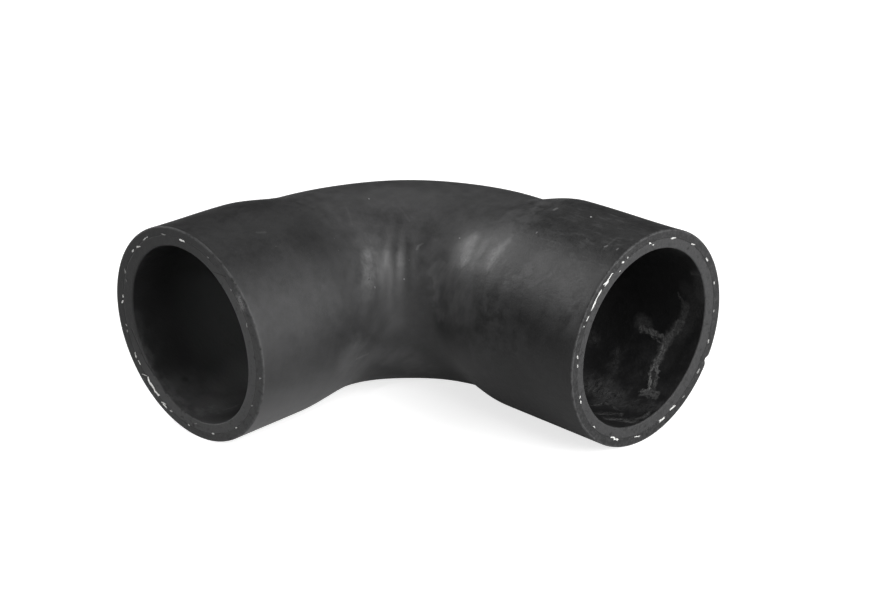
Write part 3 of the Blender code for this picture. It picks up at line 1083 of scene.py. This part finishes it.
def yarn_piece(name, marks, length, seed):
    """Closed strands on the face at a length of the hose, each from its yarn's start to its stop.

    At the share t of a strand, the half thickness is r (1 - |2 t - 1| cubed) to the power 1/2, and its middle
    wanders by a wave of its own. Across is the face's normal cross the strand's own direction.
    """
    chance = np.random.default_rng(seed)
    marks = np.repeat(np.array(marks), STRANDS, axis=0)
    count = len(marks)
    spread = chance.uniform(-1, 1, (count, 4)) * STRAND_SPREAD * marks[:, 4:5]
    ends = marks[:, 0:4] + spread
    normal = face_normal(length)
    starts, stops = (surface(*on_face(ends[:, pair], length)) for pair in (slice(0, 2), slice(2, 4)))
    thick = marks[:, 4] * PIXEL * STRAND_SHARE / 2 * chance.uniform(THINNEST, THICKEST, count)
    runs = stops - starts
    runs = runs / np.linalg.norm(runs, axis=1, keepdims=True).clip(1e-9)
    starts, stops = starts - runs * thick[:, None], stops + runs * thick[:, None]
    across = np.cross(normal, runs)

    t = np.linspace(0, 1, STATIONS)
    fat = thick[:, None] * np.sqrt(np.clip(1 - np.abs(2 * t - 1) ** 3, 0, 1))
    phase = chance.uniform(0, 2 * np.pi, (count, 1))
    wander = STRAND_WANDER * thick[:, None] * np.sin(2 * np.pi * t + phase)
    middles = starts[:, None] + t[:, None] * (stops - starts)[:, None] + wander[..., None] * across[:, None]
    turns = np.linspace(0, 2 * np.pi, STRAND_SIDES, endpoint=False)
    ring = np.cos(turns)[:, None] * across[:, None] + PROUD * np.sin(turns)[:, None] * normal
    points = middles[:, 1:-1, None] + fat[:, 1:-1, None, None] * ring[:, None]

    # Each strand's vertices are its rings' points, then its two tips.
    rings = STATIONS - 2
    points = np.concatenate([points.reshape(count, -1, 3), middles[:, :1], middles[:, -1:]], axis=1)
    grid = np.arange(rings * STRAND_SIDES).reshape(rings, STRAND_SIDES)
    beside = np.roll(grid, -1, axis=1)
    sides = np.stack([grid[:-1], beside[:-1], beside[1:], grid[1:]], axis=-1).reshape(-1, 4)
    tips = rings * STRAND_SIDES + np.zeros_like(grid[0])
    first_cap = np.stack([beside[0], grid[0], tips], axis=-1)
    last_cap = np.stack([grid[-1], beside[-1], tips + 1], axis=-1)
    caps = np.concatenate([first_cap, last_cap])
    first = (np.arange(count) * points.shape[1])[:, None, None]
    faces = (sides + first).reshape(-1, 4).tolist() + (caps + first).reshape(-1, 3).tolist()
    piece = add_mesh(name, points, faces)
    add_attribute(piece.data, "white", np.repeat(marks[:, 5], points.shape[1]))
    piece.data.materials.append(yarn_material)
    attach(piece, "root")
    print(name, "of", count, "strands and", sum(len(face) - 2 for face in faces), "triangles")


# %% The yarn's finish


def yarn_finish():
    finish = new_finish("cut_yarn", grey(0.70, -0.02))
    fibre = finish.noise(finish.place(), 0.00025, 3, 0.6)
    white = finish.attribute("white") ** 1.5 * (0.5 + fibre.between(0.3, 0.6) * 0.5)
    tone = finish.mix(white, grey(0.05), grey(0.85, -0.02))
    return finish.surface({"Base Color": tone, "Roughness": 0.8, "Normal": finish.bump(fibre * 0.00005)})


yarn_material = yarn_finish()
yarn_piece("yarn_ends_short", SHORT_YARN, 0.0, 11)
yarn_piece("yarn_ends_long", LONG_YARN, LENGTH, 12)

# %% [markdown]
# ## The floor and the light
#
# The hose lies on a plain white floor under six soft boxes: three on the photograph's right, two on its left
# and a weak one behind. Black rubber shows mostly what it mirrors, so the boxes' places matter more than
# their strength: each makes one of the soft highlights. One narrow lamp looks into the short mouth, which is
# turned away from all of them.

# %% The floor
SEEN_GLOW, MIRRORED_GLOW = 0.75, 0.22
GLOW_START, GLOW_FULL = 0.35, 0.75  # metres from the hose: beyond it the lamps light the floor less
SHADE_START, SHADE_FULL = 0.05, 0.25  # metres from the hose: within it the hose keeps light off the floor
SHADED_SHARE = 0.55
FLOOR_WHITE = 0.7


def floor_finish():
    """A white floor that keeps shadows: plain white, plus light of its own that only some rays see.

    The camera sees it rise to full white far from the hose, where the lamps reach less. Mirrored rays see
    less of it close to the hose.
    """
    finish = Finish(bpy.data.materials.new("floor"))
    seen, mirrored = finish.ray("Is Camera Ray"), finish.ray("Is Glossy Ray")
    away = finish.vector("LENGTH", {0: finish.place()}, "Value")
    shaded = SHADED_SHARE + away.between(SHADE_START, SHADE_FULL) * (1 - SHADED_SHARE)
    light = seen * (SEEN_GLOW + away.between(GLOW_START, GLOW_FULL) * (1 - SEEN_GLOW))
    light = light + mirrored * shaded * MIRRORED_GLOW
    glow = finish.node("ShaderNodeEmission", {}, {"Color": finish.mix(light, grey(0.0), grey(1.0))})
    white = finish.node("ShaderNodeBsdfDiffuse", {}, {"Color": grey(FLOOR_WHITE)})
    both = finish.node("ShaderNodeAddShader", {}, {0: white, 1: glow})
    finish.node("ShaderNodeOutputMaterial", {}, {"Surface": both})
    return finish.owner


FLOOR_SIZE = 8.0
bpy.ops.mesh.primitive_plane_add(size=FLOOR_SIZE, location=(0, 0, 0))
floor = bpy.context.object
floor.name = "floor"
floor.data.materials.append(floor_finish())
print("floor of", FLOOR_SIZE, "m")

# %% The lamps
# Each box: its name, its angle from the camera's, its height in degrees and its power in watts.
SOFT_BOXES = (
    ("right_low_box", 60, 8, 4.2),
    ("right_high_box", 60, 38, 2.9),
    ("front_box", 30, 30, 4.6),
    ("left_low_box", -120, 15, 4.0),
    ("left_high_box", -115, 45, 2.0),
    ("back_box", 165, 50, 0.5),
)
BOX_SIZE, BOX_DISTANCE = 0.5, 0.9
MOUTH_LAMP_POWER, MOUTH_LAMP_CONE, MOUTH_LAMP_BLEND, MOUTH_LAMP_SIZE = 7.0, math.radians(6.5), 0.5, 0.04
MOUTH_LAMP_TURN, MOUTH_LAMP_RISE, MOUTH_LAMP_DISTANCE = -15, 30, 0.6


def hang(lamp, target, turn, rise, distance):
    """Hangs a lamp at a distance from what it lights, at an angle from the camera's and at a height."""
    aim(add_object(lamp.name, lamp), target, direction(CAMERA_TURN + turn, rise), distance)


for name, turn, rise, power in SOFT_BOXES:
    box = bpy.data.lights.new(name, "AREA")
    box.shape, box.size, box.energy = "SQUARE", BOX_SIZE, power
    hang(box, CAMERA_AIM, turn, rise, BOX_DISTANCE)

# A narrow lamp beside the camera looks into the short mouth.
mouth = Vector(surface(np.zeros(4), np.radians([0.0, 90.0, 180.0, 270.0]), np.ones(4)).mean(axis=0))
beam = bpy.data.lights.new("mouth_lamp", "SPOT")
beam.energy, beam.spot_size, beam.spot_blend = MOUTH_LAMP_POWER, MOUTH_LAMP_CONE, MOUTH_LAMP_BLEND
beam.shadow_soft_size = MOUTH_LAMP_SIZE
hang(beam, mouth, MOUTH_LAMP_TURN, MOUTH_LAMP_RISE, MOUTH_LAMP_DISTANCE)

# %% The world
WORLD_LIGHT, WORLD_SEEN = 0.05, 1.0
world = Finish(bpy.data.worlds.new("studio"))
light = WORLD_LIGHT + world.ray("Is Camera Ray") * (WORLD_SEEN - WORLD_LIGHT)
backdrop = world.node("ShaderNodeBackground", {}, {"Color": grey(1.0), "Strength": light})
world.node("ShaderNodeOutputWorld", {}, {"Surface": backdrop})
bpy.context.scene.world = world.owner
bpy.context.scene.view_settings.view_transform = "Standard"
print("world", WORLD_LIGHT, "for the hose and", WORLD_SEEN, "for the camera")
